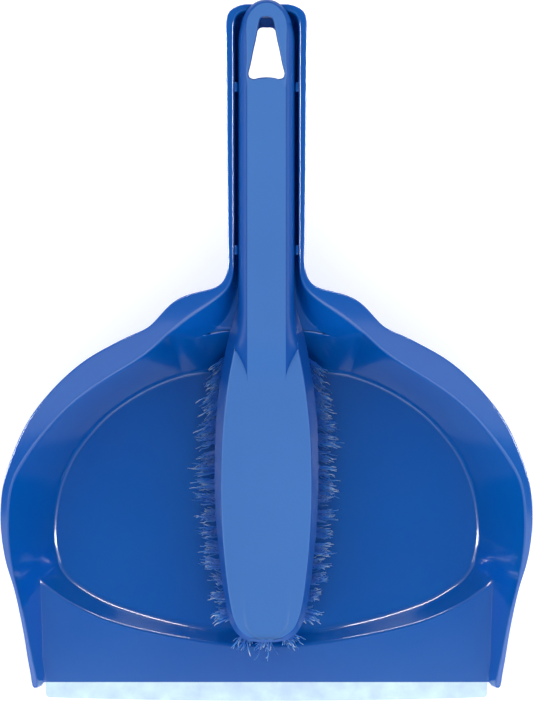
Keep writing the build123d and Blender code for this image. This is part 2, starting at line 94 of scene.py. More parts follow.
@dataclass
class Stations:
    """Matched points of several chains that run side by side, such as a rim's two edges.

    Attributes:
        rows: one tuple per station, holding the coordinates of every chain in turn.
        lead: how many coordinates belong to the chain that sets the spacing.
        step: distance between samples along that chain.
        mirrored_end: the last station lies on the mirror plane, and the chains cross it square.
        mirrored_start: the same for the first station.
    """

    rows: list[Point]
    lead: int
    step: float
    mirrored_end: bool = False
    mirrored_start: bool = False

    def sample(self) -> tuple[np.ndarray, list[int]]:
        """Samples all chains.

        Returns:
            The samples, one row each, and the sample index of every station.
        """
        points = np.array(self.rows, float)
        flip = np.ones(points.shape[1])
        flip[0::2] = -1.0
        before = points[2:0:-1] * flip if self.mirrored_start else points[:0]
        after = points[-2:-4:-1] * flip if self.mirrored_end else points[:0]
        padded = np.vstack([before, points, after])
        spans = np.linalg.norm(np.diff(padded[:, : self.lead], axis=0), axis=1)
        knots = np.concatenate([[0.0], np.cumsum(spans)])
        own = knots[len(before) : len(before) + len(points)]
        at, marks = [own[0]], [0]
        for low, high in zip(own, own[1:]):
            count = max(1, math.ceil((high - low) / self.step))
            at.extend(low + (high - low) * (i + 1) / count for i in range(count))
            marks.append(len(at) - 1)
        sampled = natural_cubic(knots, padded, np.array(at))
        if self.mirrored_end:
            sampled[-1, 0::2] = 0.0
        if self.mirrored_start:
            sampled[0, 0::2] = 0.0
        return sampled, marks


@dataclass(frozen=True)
class SideLine:
    """Height along the set as a smooth curve through (y, z) points."""

    points: tuple[Point, ...]

    def __call__(self, y: np.ndarray | float) -> np.ndarray:
        """Height at y."""
        table = np.array(self.points, float)
        return natural_cubic(table[:, 0], table[:, 1:], np.atleast_1d(np.asarray(y, float)))[:, 0]


@dataclass(frozen=True)
class Fit:
    """Stretch from drawn millimetres to a CAD node's box, in metres.

    Attributes:
        node: CAD node that the drawn piece stands for.
        low: lowest drawn y and z.
        high: highest drawn x, y and z.
    """

    node: str
    low: tuple[float, float]
    high: tuple[float, float, float]

    def __call__(self, points: np.ndarray) -> np.ndarray:
        """Fits drawn points to the node's box."""
        lo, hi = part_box(self.node)
        out = np.array(points, float)
        out[:, 0] *= hi.x / self.high[0]
        for axis, first in ((1, self.low[0]), (2, self.low[1])):
            share = (out[:, axis] - first) / (self.high[axis] - first)
            out[:, axis] = lo[axis] + share * (hi[axis] - lo[axis])
        return out


# ------------------------------------------------------------------ meshes
class Shell:
    """Builder of a two-sided skin: every point has a place on the show side and one beneath it."""

    def __init__(self) -> None:
        """Starts an empty skin."""
        self.top: list[Point] = []
        self.under: list[Point] = []
        self.index: dict[Point, int] = {}
        self.faces: list[tuple[int, ...]] = []
        self.slots: list[int] = []
        self.rounds: dict[tuple[int, int], float] = {}

    def point(self, top: Point, under: Point) -> int:
        """Index of a point, shared with any earlier point at the same place."""
        key = tuple(round(float(c), 3) + 0.0 for c in top)
        if key not in self.index:
            self.index[key] = len(self.top)
            self.top.append(tuple(float(c) for c in top))
            self.under.append(tuple(float(c) for c in under))
        return self.index[key]

    def face(self, corners: list[int], slot: int = 0) -> None:
        """Adds one face, without repeated corners."""
        kept = [c for i, c in enumerate(corners) if c != corners[i - 1]]
        if len(set(kept)) >= 3 and len(set(kept)) == len(kept):
            self.faces.append(tuple(kept))
            self.slots.append(slot)

    def grid(self, tops: np.ndarray, unders: np.ndarray, flip: bool = False) -> np.ndarray:
        """Adds a patch of quads.

        Args:
            tops: points of the show side, rows by columns by 3.
            unders: the same beneath.
            flip: turns the faces over.

        Returns:
            The indices of its points.
        """
        rows, columns = tops.shape[:2]
        ids = np.array(
            [[self.point(tops[i, j], unders[i, j]) for j in range(columns)] for i in range(rows)]
        )
        for i in range(rows - 1):
            for j in range(columns - 1):
                quad = [ids[i, j], ids[i, j + 1], ids[i + 1, j + 1], ids[i + 1, j]]
                self.face(quad[::-1] if flip else quad)
        return ids

    def fill(self, loop: list[int]) -> None:
        """Fills a loop of points by triangles that face up."""
        flat = [Vector((self.top[i][0], self.top[i][1], 0.0)) for i in loop]
        for triangle in tessellate_polygon([flat]):
            a, b, c = (loop[i] for i in triangle)
            (ax, ay), (bx, by), (cx, cy) = (self.top[i][:2] for i in (a, b, c))
            up = (bx - ax) * (cy - ay) - (by - ay) * (cx - ax) > 0
            self.face([a, b, c] if up else [a, c, b])

    def round_edges(self, ids: list[int], radius: float | list[float]) -> None:
        """Marks a run of edges to be rounded, but for those of a very small radius."""
        radii = [radius] * len(ids) if isinstance(radius, float) else radius
        for a, b, r in zip(ids, ids[1:], radii):
            if a != b and r >= LEAST_ROUND:
                self.rounds[(min(a, b), max(a, b))] = r

    def mirror(self) -> list[int]:
        """Adds the left half as the mirror image of everything so far.

        Returns:
            The mirror point of every point.
        """
        count = len(self.top)
        twin = []
        for i in range(count):
            (x, y, z), (u, v, w) = self.top[i], self.under[i]
            twin.append(self.point((-x, y, z), (-u, v, w)))
        for corners, slot in list(zip(self.faces, self.slots)):
            self.face([twin[c] for c in reversed(corners)], slot)
        for (a, b), r in list(self.rounds.items()):
            self.rounds[(min(twin[a], twin[b]), max(twin[a], twin[b]))] = r
        return twin

    def closed(self) -> tuple[list[Point], list[tuple[int, ...]]]:
        """The skin with its underside and its edges closed.

        Returns:
            Points and faces.
        """
        count = len(self.top)
        sides = [list(zip(corners, corners[1:] + corners[:1])) for corners in self.faces]
        used = {side for run in sides for side in run}
        faces = list(self.faces)
        for corners, run in zip(self.faces, sides):
            faces.append(tuple(c + count for c in reversed(corners)))
            faces += [(b, a, a + count, b + count) for a, b in run if (b, a) not in used]
        return self.top + self.under, faces


def make_object(name: str, points: np.ndarray, faces: list[tuple[int, ...]]) -> bpy.types.Object:
    """Links a new smooth mesh object.

    Args:
        name: the piece's name.
        points: places in metres.
        faces: corner indices.

    Returns:
        The object.
    """
    mesh = bpy.data.meshes.new(name)
    mesh.from_pydata([tuple(p) for p in points], [], faces)
    mesh.validate()
    mesh.polygons.foreach_set("use_smooth", [True] * len(mesh.polygons))
    mesh.update()
    obj = bpy.data.objects.new(name, mesh)
    bpy.context.scene.collection.objects.link(obj)
    return obj


def round_marked(obj: bpy.types.Object, marked: dict[tuple[int, int], float], segments: int = 4) -> None:
    """Rounds marked edges by a weighted bevel.

    Args:
        obj: piece whose mesh holds those edges.
        marked: radius in millimetres of each edge, by its two points.
        segments: faces across a rounded edge.
    """
    rounds = {edge: radius * MM for edge, radius in marked.items()}
    widest = max(rounds.values())
    mesh = bmesh.new()
    mesh.from_mesh(obj.data)
    weight = mesh.edges.layers.float.new("bevel_weight_edge")
    for edge in mesh.edges:
        pair = tuple(sorted(vert.index for vert in edge.verts))
        if pair in rounds:
            edge[weight] = rounds[pair] / widest
        elif len(edge.link_faces) == 2:
            edge.smooth = edge.calc_face_angle() < SHARP_ANGLE
    mesh.to_mesh(obj.data)
    mesh.free()
    bevel = obj.modifiers.new("rounded edges", "BEVEL")
    bevel.limit_method = "WEIGHT"
    bevel.width = widest
    bevel.segments = segments
    bevel.use_clamp_overlap = False
    level = obj.modifiers.new("level faces", "WEIGHTED_NORMAL")
    level.keep_sharp = True


# ------------------------------------------------------------------ node maths
class Wire:
    """A shader value that adds Math nodes as Python expressions are written on it."""

    def __init__(self, tree: Tree, socket: bpy.types.NodeSocket) -> None:
        """Wraps an output socket of one of the tree's nodes."""
        self.tree, self.socket = tree, socket

    def _math(self, operation: str, first: Wire | float, second: Wire | float) -> Wire:
        """Adds one Math node."""
        return self.tree.node("ShaderNodeMath", {"operation": operation}, {0: first, 1: second})

    def __add__(self, other: Wire | float) -> Wire:
        """Sum."""
        return self._math("ADD", self, other)

    def __sub__(self, other: Wire | float) -> Wire:
        """Difference."""
        return self._math("SUBTRACT", self, other)

    def __mul__(self, other: Wire | float) -> Wire:
        """Product."""
        return self._math("MULTIPLY", self, other)

    def __rsub__(self, other: float) -> Wire:
        """Difference from a number."""
        return self._math("SUBTRACT", other, self)

    __radd__, __rmul__ = __add__, __mul__


class Tree:
    """A node tree, to which one method adds the nodes."""

    def __init__(self, tree: bpy.types.NodeTree) -> None:
        """Takes the tree of a material or of the surround."""
        self.nodes, self.links = tree.nodes, tree.links

    def put(self, target: bpy.types.NodeSocket, value: Wire | float | Point) -> None:
        """Sets a socket to a value or links it."""
        if isinstance(value, Wire):
            self.links.new(value.socket, target)
        else:
            target.default_value = value

    def node(self, kind: str, settings: dict, values: dict, output: int | str = 0) -> Wire:
        """Adds a node.

        Args:
            kind: the node's type.
            settings: its properties; "stops" fills a colour ramp with (place, colour) pairs.
            values: values or links of its input sockets, by name or number.
            output: the output socket to return.

        Returns:
            That output.
        """
        made = self.nodes.new(kind)
        for name, value in settings.items():
            if name == "stops":
                elements = made.color_ramp.elements
                for _ in range(len(value) - 2):
                    elements.new(0.5)
                for element, (place, colour) in zip(elements, value):
                    element.position = place
                    element.color = colour
            else:
                setattr(made, name, value)
        for socket, value in values.items():
            self.put(made.inputs[socket], value)
        return Wire(self, made.outputs[output])


class Bench(Tree):
    """Node tree of one material."""

    def __init__(self, name: str) -> None:
        """Starts a material that holds one Principled shader."""
        self.material = bpy.data.materials.new(name)
        self.material.use_nodes = True
        super().__init__(self.material.node_tree)
        self.nodes.clear()
        output = self.nodes.new("ShaderNodeOutputMaterial")
        self.shader = self.nodes.new("ShaderNodeBsdfPrincipled")
        self.links.new(self.shader.outputs[0], output.inputs[0])

    def set(self, values: dict) -> None:
        """Sets or links sockets of the Principled shader."""
        for socket, value in values.items():
            self.put(self.shader.inputs[socket], value)

    def place(self) -> Wire:
        """Places on the piece, in metres."""
        return self.node("ShaderNodeTexCoord", {}, {}, "Object")

    def noise(self, scale: float, detail: float = 2.0, roughness: float = 0.5) -> Wire:
        """Noise from 0 to 1, whose grain is 1 / scale metres."""
        inputs = {"Vector": self.place(), "Scale": scale, "Detail": detail, "Roughness": roughness}
        return self.node("ShaderNodeTexNoise", {}, inputs, "Fac")

    def ramp(self, value: Wire, stops: list[tuple[float, Point]]) -> Wire:
        """Colour ramp over a value."""
        return self.node("ShaderNodeValToRGB", {"stops": stops}, {"Fac": value}, "Color")

    def bump(self, height: Wire, depth: float) -> Wire:
        """Bump for the Normal socket, depth in metres."""
        inputs = {"Height": height, "Distance": depth, "Strength": 1.0}
        return self.node("ShaderNodeBump", {}, inputs, "Normal")


def srgb(red: int, green: int, blue: int) -> Point:
    """Linear colour of 8-bit display values."""

    def linear(value: float) -> float:
        """One channel."""
        return value / 12.92 if value <= 0.04045 else ((value + 0.055) / 1.055) ** 2.4

    return (linear(red / 255), linear(green / 255), linear(blue / 255), 1.0)


# ------------------------------------------------------------------ finishes
@dataclass(frozen=True)
class MouldedPlastic:
    """Blue moulded polypropylene.

    Attributes:
        name: the material's name.
        colour: main colour.
        deep: colour of its darker clouds.
        gloss: roughness.
        grain: depth in metres of its moulded texture.
        grain_scale: grains per metre.
        coat: share of clear skin.
        depth: share of light that spreads inside the wall.
        shine: level of its mirror reflection.
    """

    name: str
    colour: Point
    deep: Point
    gloss: float
    grain: float
    grain_scale: float
    coat: float
    depth: float
    shine: float

    def material(self) -> bpy.types.Material:
        """Builds the material."""
        bench = Bench(self.name)
        cloud = bench.noise(9.0, 3.0)
        fine = bench.noise(self.grain_scale, 2.0)
        smear = bench.noise(60.0, 4.0, 0.6)
        bench.set({
            "Base Color": bench.ramp(cloud, [(0.3, self.deep), (0.7, self.colour)]),
            "Roughness": smear * 0.10 + (self.gloss - 0.05), "IOR": 1.49,
            "Specular IOR Level": self.shine, "Coat Weight": self.coat, "Coat Roughness": 0.07,
            "Subsurface Weight": self.depth, "Subsurface Scale": 0.004,
            "Subsurface Radius": (0.1, 0.5, 1.0), "Normal": bench.bump(fine, self.grain),
        })
        return bench.material


@dataclass(frozen=True)
class LipRubber:
    """Pale translucent thermoplastic rubber."""

    name: str = "lip rubber"
    colour: Point = srgb(190, 216, 245)

    def material(self) -> bpy.types.Material:
        """Builds the material."""
        bench = Bench(self.name)
        cloud = bench.noise(120.0, 3.0)
        pale = tuple(min(1.0, c * 1.25) for c in self.colour[:3]) + (1.0,)
        bench.set({
            "Base Color": bench.ramp(cloud, [(0.35, self.colour), (0.7, pale)]),
            "Roughness": bench.noise(300.0) * 0.12 + 0.3, "IOR": 1.45, "Transmission Weight": 0.02,
            "Subsurface Weight": 0.1, "Subsurface Radius": (0.0004, 0.0006, 0.001),
            "Normal": bench.bump(bench.noise(900.0), 0.00004),
        })
        return bench.material


@dataclass(frozen=True)
class BristleFibre:
    """Crimped polyester fibre, with painted shade darkening it towards its root under the head and a
    painted highlight lightening its tip.
    """

    name: str = "bristle fibre"

    def material(self) -> bpy.types.Material:
        """Builds the material from the two attributes that the filaments carry."""
        bench = Bench(self.name)
        along = bench.node("ShaderNodeAttribute", {"attribute_name": "along"}, {}, "Fac")
        tone = bench.node("ShaderNodeAttribute", {"attribute_name": "tone"}, {}, "Fac")
        # along paints shade at the root and a highlight at the tip; tone adds random differences between
        # filaments.
        shade = along * 0.85 + tone * 0.25
        # the dark low stops are painted shade, the near-white last stop a painted highlight.
        stops = [
            (0.45, srgb(0, 74, 176)), (0.74, srgb(10, 106, 208)), (0.92, srgb(92, 164, 234)),
            (1.0, srgb(226, 240, 252)),
        ]
        bench.set({
            "Base Color": bench.ramp(shade, stops), "Roughness": tone * 0.1 + 0.32, "IOR": 1.55,
            "Normal": bench.bump(bench.noise(2500.0), 0.00002),
        })
        return bench.material


@dataclass(frozen=True)
class StapleSteel:
    """Flat steel wire."""

    name: str = "staple steel"

    def material(self) -> bpy.types.Material:
        """Builds the material."""
        bench = Bench(self.name)
        greys = [(0.2, srgb(150, 150, 155)), (0.8, srgb(190, 190, 195))]
        bench.set({
            "Base Color": bench.ramp(bench.noise(800.0), greys), "Metallic": 1.0,
            "Roughness": bench.noise(1500.0) * 0.2 + 0.25,
            "Normal": bench.bump(bench.noise(4000.0), 0.00001),
        })
        return bench.material


@dataclass(frozen=True)
class StudioFloor:
    """Plain white floor."""

    name: str = "studio floor"

    def material(self) -> bpy.types.Material:
        """Builds the material."""
        bench = Bench(self.name)
        bench.set({
            "Base Color": (0.93, 0.93, 0.94, 1.0), "Roughness": 0.9,
            "Emission Color": (1.0, 1.0, 1.0, 1.0), "Emission Strength": 0.4,
        })
        return bench.material


PAN_PLASTIC = MouldedPlastic(
    name="pan plastic", colour=srgb(0, 92, 178), deep=srgb(0, 84, 172), gloss=0.14, grain=0.000008,
    grain_scale=900.0, coat=0.6, depth=0.3, shine=0.5,
)
BRUSH_PLASTIC = MouldedPlastic(
    name="brush plastic", colour=srgb(0, 78, 162), deep=srgb(0, 72, 156), gloss=0.42, grain=0.00001,
    grain_scale=900.0, coat=0.0, depth=0.1, shine=0.1,
)
# Upward faces of the brush: the matte grain and roughness are real, but the base colour, lighter than the
# brush plastic, is painted sheen from the overhead light.
BRUSH_TEXTURE_WITH_SHEEN = MouldedPlastic(
    name="brush texture with painted sheen", colour=srgb(38, 106, 184), deep=srgb(32, 100, 178), gloss=0.52, grain=0.00007,
    grain_scale=2600.0, coat=0.0, depth=0.0, shine=0.3,
)


class Slot(Enum):
    """Material slots of the pieces that stand in for CAD nodes."""

    PAN = "pan_plastic"
    BRUSH = "brush_plastic"
    FIBRE = "bristle_fibre"


# ------------------------------------------------------------------ pan
HANDLE_ROOT = (38.0, 52.25)
HANDLE_RISE = 0.0407
RIM = SideLine((
    (-160, 5.0), (-143, 13.0), (-121, 24.0), (-94, 33.0), (-76, 37.5), (-44, 43.6),
    (-5, 48.8), (20, 51.3), (45, 52.6), (100, 54.8), (165, 57.4),
))


def handle_line(y: np.ndarray | float) -> np.ndarray:
    """Height of the line that both handles follow."""
    return HANDLE_ROOT[1] + (np.asarray(y, float) - HANDLE_ROOT[0]) * HANDLE_RISE


@dataclass
class RimRun:
    """The rim's samples, from the tip of a wing to the end of the handle.

    Attributes:
        plan: plan points of the inner and the outer edge, one row per sample.
        marks: sample of each station.
        knee: sample where the wing ends and the bowl's wall begins.
        throat: sample where the bowl's wall ends and the bell mouth of the trough begins.
        edge: points of the inner edge.
        out: outward thickness of the wall below each of them.
    """

    plan: np.ndarray
    marks: list[int]
    knee: int
    throat: int
    edge: np.ndarray
    out: np.ndarray

    def foot(self, rows: list[Point], first: int, last: int) -> np.ndarray:
        """Plan points of the wall's foot.

        Args:
            rows: stations that hold the foot's own points.
            first: first sample.
            last: last sample.

        Returns:
            One row per sample.
        """
        span = np.linalg.norm(np.diff(self.plan[first : last + 1, :2], axis=0), axis=1)
        along = np.concatenate([[0.0], np.cumsum(span)])
        offset = self.marks.index(first)
        knots = np.array([along[self.marks[offset + i] - first] for i in range(len(rows))])
        return natural_cubic(knots, np.array([row[4:6] for row in rows], float), along)


@dataclass
class DustPan:
    """The moulded pan: bowl, ramp, wings, rim and hollow handle.

    Every station of a wing, of the bowl and of the handle holds three plan points in millimetres:
    the rim's inner edge, the rim's outer edge and the foot of the wall below the inner edge.
    Those of the front hold the foot and the ridge of the bowl's front wall, and those of the back
    edge hold the upper edge and the foot of its back wall.
    """

    wing: list[Point] = field(default_factory=lambda: [
        (103.2, -151.2, 104.6, -151.2, 102.4, -151.2), (102.9, -150.4, 105.2, -150.4, 101.1, -150.4),
        (103.0, -148.7, 105.6, -148.6, 100.0, -148.7),
        (104.6, -141, 106.8, -140.8, 100.3, -141), (106.7, -130, 108.5, -129.8, 100.7, -130),
        (109.0, -118, 110.7, -117.7, 101.1, -118), (111.9, -106, 113.6, -105, 101.6, -103.3),
    ])
    bowl: list[Point] = field(default_factory=lambda: [
        (111.9, -106, 113.6, -105, 93.0, -95.5), (114.4, -93.8, 116.9, -94, 95.0, -88),
        (115.6, -80, 119.1, -78.5, 95.6, -79), (115.2, -68, 119.0, -67.5, 94.7, -69),
        (113.0, -57.6, 117.4, -57, 92.4, -59), (108, -48.2, 112.9, -43.8, 88.2, -48.6),
        (101.7, -39.4, 107.6, -32.4, 83, -40.5), (94, -30.4, 100.4, -22.0, 77.2, -33.6),
        (85.3, -22.1, 91.4, -12.2, 70.5, -27.2), (75.5, -14.9, 80.8, -3.4, 62.5, -21.4),
        (65.0, -8.4, 70.2, 2.8, 54, -16.4), (54.9, -1.8, 60.6, 7.6, 46, -12.8),
        (47.8, 4.2, 53.2, 11.1, 40.5, -10.9), (43, 8.8, 49.0, 15.0, 37, -9.9),
    ])
    handle: list[Point] = field(default_factory=lambda: [
        (43, 8.8, 49.0, 15.0, 31.5, 6.4), (37.6, 13.5, 43.4, 21.0, 25.5, 8.6),
        (31.2, 18.0, 36.6, 25.2, 20.5, 12.6), (25.3, 21.7, 29.6, 27.2, 17.3, 17),
        (20.3, 25.2, 24.2, 28.6, 15.4, 21.8), (16.9, 28.8, 20.2, 30.9, 14.0, 27.4),
        (15.2, 33, 18.0, 34.8, 13.3, 33), (14.6, 40, 17.2, 41, 12.9, 40),
        (14.5, 52, 17.3, 52, 12.75, 52), (14.5, 80, 17.7, 80, 12.7, 80),
        (14.5, 110, 18.0, 110, 12.7, 110), (14.5, 134, 18.2, 134, 12.7, 134),
        (14.5, 144.6, 18.2, 144.6, 12.7, 144.4), (14.1, 148.4, 17.5, 150.8, 12.2, 147.6),
        (12.8, 150.9, 15.2, 153.7, 11.0, 149.6), (10.5, 152.2, 11.6, 155.3, 9.0, 150.5),
        (6, 152.5, 6.6, 155.7, 5.2, 150.7), (0, 152.5, 0, 155.7, 0, 150.7),
    ])
    front: list[Point] = field(default_factory=lambda: [
        (93.0, -95.5, 101.6, -103.3), (90.1, -100.2, 95.6, -107.9), (83, -105.9, 87.2, -113.6),
        (73.8, -111.2, 75.5, -119.3), (62.6, -115.4, 62.8, -123.5), (50.5, -119.1, 50.5, -126.4),
        (38.3, -122, 38.3, -128.8), (23.7, -124.9, 22.6, -131.1), (11, -126, 10.5, -131.9),
        (0, -126.2, 0, -132),
    ])
    back_edge: list[Point] = field(default_factory=lambda: [
        (31.5, 6.4, 30, -8.6), (25, 7.7, 23, -7.3), (17.9, 8.8, 16, -6.3), (9, 9.5, 8, -5.7),
        (0, 9.7, 0, -5.5),
    ])
    floor_z: float = 2.2
    wall: float = 2.0
    foot_share: float = 0.6
    wall_swell: float = 1.05
    bowl_swell: float = 1.1
    back_way: Point = (0.25, 0.97, 0.0)
    front_way: Point = (0.0, 0.6, 1.0)
    skirt: float = 6.0
    skirt_wall: float = 1.6
    skirt_lean: float = 0.05
    skirt_clear: float = 2.0
    thin_share: float = 0.45
    outer_round: Point = (0.14, 0.35, 0.8)
    inner_round: Point = (0.26, 0.4, 1.3)
    foot_round: float = 1.6
    ridge_round: float = 0.9
    wing_round: float = 0.4
    hole_round: float = 0.4
    low_rows: int = 3
    high_rows: int = 6
    trough_rows: int = 4
    crease_columns: float = 7.0
    mouth_fade: tuple[float, float] = (5.0, 10.0)
    arc_fade: float = 0.2
    brow_share: float = 0.2
    trough_depth: float = 13.0
    step: float = 2.0
    hole_step: float = 1.2
    front_y: float = -148.7
    front_z: float = 3.0
    ramp_slope: float = 11.0
    floor_middle: float = -70.0
    floor_border: Point = (0.92, 0.9, 1.0)
    hole: list[Point] = field(default_factory=lambda: [
        (0, 122.5), (5.2, 122.4), (7.4, 123.0), (8.0, 124.6), (7.4, 128), (5.6, 136), (4.4, 141.6),
        (3.9, 144.0), (2.6, 145.2), (0, 145.3),
    ])
    nub_places: tuple[float, ...] = (118.6, 45.7)
    nub_x: tuple[float, float] = (14.3, 12.75)
    nub_size: tuple[float, float] = (4.6, 3.4)
    nub_drop: float = 1.2
    nub_taper: float = 0.3
    nub_round: float = 0.9
    solids: list[tuple[int, ...]] = field(default_factory=list)

    def ramp_z(self, y: np.ndarray | float) -> np.ndarray:
        """Height of the ramp at y."""
        rise = math.tan(math.radians(self.ramp_slope))
        return self.front_z + (np.asarray(y, float) - self.front_y) * rise

    def trough_z(self, y: np.ndarray | float) -> np.ndarray:
        """Height of the trough's floor at y."""
        return handle_line(y) - self.trough_depth

    def wall_rows(self, low: np.ndarray, high: np.ndarray, rows: int) -> np.ndarray:
        """Rows of points from low to high, straight between them."""
        share = np.linspace(0, 1, rows + 1)[:, None, None]
        return low[None] * (1 - share) + high[None] * share

    def backed(self, tops: np.ndarray, out: np.ndarray, drop: float, swell: float) -> np.ndarray:
        """Outer side of a wall that hangs from the rim.

        Args:
            tops: rows of its inner points, from the foot up to the rim.
            out: outward thickness of each column.
            drop: how far the foot goes down.
            swell: factor on the thickness between the foot and the rim.

        Returns:
            The outer points.
        """
        unders = tops + out[None] * swell
        unders[0] = tops[0] + out * self.foot_share - [0, 0, drop]
        unders[-1] = tops[-1] + out - [0, 0, self.skirt_wall]
        return unders

    def rim(self, shell: Shell) -> RimRun:
        """Adds the flange and the turned-down skirt.

        Args:
            shell: the pan's skin.

        Returns:
            The rim's samples.
        """
        rows = [row[:4] for row in self.wing[:-1] + self.bowl[:-1] + self.handle]
        plan, marks = Stations(rows, 2, self.step, mirrored_end=True).sample()
        inner, outer = plan[:, :2], plan[:, 2:4]
        across = outer - inner
        width = np.linalg.norm(across, axis=1, keepdims=True)
        out = across / width
        thin = np.minimum(self.thin_share * width, self.wall)
        z_in, z_out = RIM(inner[:, 1])[:, None], RIM(outer[:, 1])[:, None]
        drop = np.minimum(self.skirt, z_out - self.skirt_clear)
        tops = np.stack([
            np.hstack([outer, z_out - drop]), np.hstack([outer - out * self.skirt_lean, z_out]),
            np.hstack([inner, z_in]),
        ])
        tuck = np.minimum(self.thin_share * width, self.skirt_wall)
        unders = np.stack([
            np.hstack([outer - out * tuck, z_out - drop]),
            np.hstack([outer - out * (tuck + self.skirt_lean), z_out - self.skirt_wall]),
            np.hstack([inner + out * thin, z_in - self.skirt_wall]),
        ])
        ids = shell.grid(tops, unders)
        for row, (share, least, most) in ((1, self.outer_round), (2, self.inner_round)):
            shell.round_edges(list(ids[row]), [float(r) for r in np.clip(width[:, 0] * share, least, most)])
        return RimRun(
            plan, marks, marks[len(self.wing) - 1], marks[len(self.wing) + len(self.bowl) - 2],
            np.hstack([inner, z_in]), np.hstack([out * thin, np.zeros_like(z_in)]),
        )

    def wings(self, shell: Shell, run: RimRun) -> np.ndarray:
        """Adds the wall of a wing.

        Args:
            shell: the pan's skin.
            run: the rim's samples.

        Returns:
            Points of the wall's foot beside the ramp, front to back.
        """
        count = run.knee + 1
        side = run.foot(self.wing, 0, run.knee)
        side = np.hstack([side, self.ramp_z(side[:, 1])[:, None]])
        tops = self.wall_rows(side, run.edge[:count], self.high_rows)
        unders = self.backed(tops, run.out[:count], self.wall, self.wall_swell)
        ids = shell.grid(tops, unders, flip=True)
        shell.round_edges(list(ids[0][self.front_sample(side) + 1 :]), self.wing_round)
        return side

    def front_sample(self, side: np.ndarray) -> int:
        """Index of the point of a wing's foot at the ramp's front edge."""
        return next(i for i, point in enumerate(side) if point[1] >= self.front_y - 1e-6)

    def bowl_wall(self, shell: Shell, run: RimRun, corner: np.ndarray) -> tuple[np.ndarray, np.ndarray]:
        """Adds the bowl's wall between a wing and the bell mouth.

        Args:
            shell: the pan's skin.
            run: the rim's samples.
            corner: where the wing, the ramp and the bowl's wall meet.

        Returns:
            Points of the wall's foot, and the indices of all its points.
        """
        foot = run.foot(self.bowl, run.knee, run.throat)
        foot = np.hstack([foot, np.full((len(foot), 1), self.floor_z)])
        edge = run.edge[run.knee : run.throat + 1]
        tops = self.wall_rows(foot, edge, self.low_rows + self.high_rows)
        bent = np.vstack([
            self.wall_rows(foot[:1], corner[None], self.low_rows)[:, 0],
            self.wall_rows(corner[None], edge[:1], self.high_rows)[1:, 0],
        ])
        fade = np.clip(1 - np.arange(len(foot)) / self.crease_columns, 0, 1) ** 2
        tops += (bent - tops[:, 0])[:, None] * fade[None, :, None]
        tops[:, 0] = bent
        out = run.out[run.knee : run.throat + 1]
        return foot, shell.grid(tops, self.backed(tops, out, self.floor_z, self.bowl_swell), flip=True)

    def trough_wall(self, shell: Shell, run: RimRun) -> tuple[np.ndarray, np.ndarray]:
        """Adds the wall of the trough and of its bell mouth.

        Args:
            shell: the pan's skin.
            run: the rim's samples.

        Returns:
            The wall's front column of points from the rim down, and the indices of its foot.
        """
        foot = run.foot(self.handle, run.throat, len(run.plan) - 1)
        foot[-1, 0] = 0.0
        foot = np.hstack([foot, self.trough_z(foot[:, 1])[:, None]])
        tops = self.wall_rows(foot, run.edge[run.throat :], self.trough_rows)
        unders = self.backed(tops, run.out[run.throat :], self.wall, self.wall_swell)
        ids = shell.grid(tops, unders, flip=True)
        start, length = self.mouth_fade
        grow = np.clip((np.arange(ids.shape[1]) - start) / length, 0, 1)
        shell.round_edges(list(ids[0]), [float(g) for g in grow])
        return tops[::-1, 0], ids[0]

    def back_wall(self, shell: Shell, mouth: np.ndarray, start: np.ndarray) -> tuple[np.ndarray, list[int]]:
        """Adds the bowl's back wall, under the mouth of the trough.

        Args:
            shell: the pan's skin.
            mouth: front column of the trough's wall, from the rim down.
            start: rear end of the foot of the bowl's wall.

        Returns:
            The indices of its points, and those of the trough floor's front edge.
        """
        brow = Stations(self.back_edge, 2, self.step, mirrored_end=True).sample()[0][1:]
        upper = np.vstack([mouth, np.hstack([brow[:, :2], self.trough_z(brow[:, 1])[:, None]])])
        turn = np.array([*self.back_edge[0][2:4], self.floor_z])
        share = np.linspace(0, 1, len(mouth))[:, None]
        lower = np.vstack([
            start * (1 - share) + turn * share,
            np.hstack([brow[:, 2:4], np.full((len(brow), 1), self.floor_z)]),
        ])
        tops = self.wall_rows(lower, upper, self.low_rows + self.high_rows)
        back = np.array(self.back_way) * self.wall
        unders = tops + back * self.bowl_swell
        unders[0] = tops[0] + back * self.foot_share - [0, 0, self.floor_z]
        unders[-1] = tops[-1] + back * self.brow_share - [0, 0, self.wall]
        unders[:, -1, 0] = 0.0
        ids = shell.grid(tops, unders, flip=True)
        arc = list(ids[-1][len(mouth) - 1 :])
        shell.round_edges(arc, [min(1.0, self.arc_fade * k) for k in range(len(arc))])
        return ids, arc

    def front_wall(self, shell: Shell, start: np.ndarray, side: np.ndarray) -> np.ndarray:
        """Adds the bowl's front wall up to the ridge, and the ramp beyond it.

        Args:
            shell: the pan's skin.
            start: front end of the foot of the bowl's side wall.
            side: foot of the wing, whose last point is the corner at the ridge.

        Returns:
            The indices of the wall's foot.
        """
        run, _ = Stations(self.front, 2, self.step, mirrored_end=True).sample()
        lower = np.hstack([run[:, :2], np.full((len(run), 1), self.floor_z)])
        ridge = np.hstack([run[:, 2:4], self.ramp_z(run[:, 3])[:, None]])
        corner = side[-1]
        lower[0], ridge[0] = start, corner
        tops = self.wall_rows(lower, ridge, self.low_rows)
        unders = tops - np.array(self.front_way) * self.wall
        unders[0, :, 2] = 0.0
        ids = shell.grid(tops, unders)
        shell.round_edges(list(ids[0]), self.foot_round)
        shell.round_edges(list(ids[-1]), self.ridge_round)
        ramp_side = side[self.front_sample(side) :][::-1]
        share = ((ramp_side[:, 1] - corner[1]) / (self.front_y - corner[1]))[:, None, None]
        ends = ridge.copy()
        ends[:, 0] *= ramp_side[-1, 0] / corner[0]
        ends[:, 1] = ramp_side[-1, 1]
        ends[:, 2] = self.ramp_z(ends[:, 1])
        tops = ridge[None] * (1 - share) + ends[None] * share
        tops[:, 0] = ramp_side
        shell.grid(tops, tops - np.array([0, 0, self.wall]))
        return ids[0]

